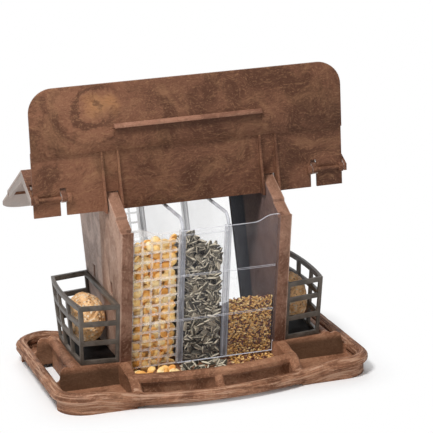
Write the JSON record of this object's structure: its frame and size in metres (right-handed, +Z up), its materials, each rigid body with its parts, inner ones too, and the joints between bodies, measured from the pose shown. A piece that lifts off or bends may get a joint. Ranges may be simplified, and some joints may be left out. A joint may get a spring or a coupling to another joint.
{
  "type": "bird feeder",
  "caption": "Hopper bird feeder with clear windows, a hinged roof flap standing open, a perch-rimmed feeding tray and lift-off fat-ball baskets at the ends.",
  "frame": {"origin": "under the middle of the tray, on the surface it stands on", "axes": "+X along the tray's long side, -Y towards the front with the roof flap, +Z up"},
  "size_m": [0.376, 0.294, 0.3567],
  "materials": {
    "tray_brown": "marbled wood-look",
    "panel_brown": "marbled planks",
    "roof_brown": "marbled wood-look",
    "clear_plastic": "clear",
    "basket_grey": "dark satin",
    "steel": "bright"
  },
  "bodies": {
    "house": {"base_tray": "tray_brown", "left_side_panel": "panel_brown", "right_side_panel": "panel_brown", "front_window": "clear_plastic", "rear_window": "clear_plastic", "left_divider": "clear_plastic", "right_divider": "clear_plastic", "rear_roof": "roof_brown", "panel_screws": "steel", "roof_screws": "steel"},
    "lid": {"roof_flap": "roof_brown", "left_hinge_pin": "roof_brown", "right_hinge_pin": "roof_brown"},
    "left_basket_body": {"left_basket": "basket_grey"},
    "right_basket_body": {"right_basket": "basket_grey"}
  },
  "joints": [
    {"name": "lid_hinge", "type": "hinge", "parent": "house", "child": "lid", "pos_m": [0, -0.042, 0.23072], "axis": [1, 0, 0], "range_deg": [0, 116.7]},
    {"name": "left_basket_lift", "type": "slide", "parent": "house", "child": "left_basket_body", "axis": [0, 0, 1], "range_m": [0, 0.012]},
    {"name": "right_basket_lift", "type": "slide", "parent": "house", "child": "right_basket_body", "axis": [0, 0, 1], "range_m": [0, 0.012]}
  ]
}
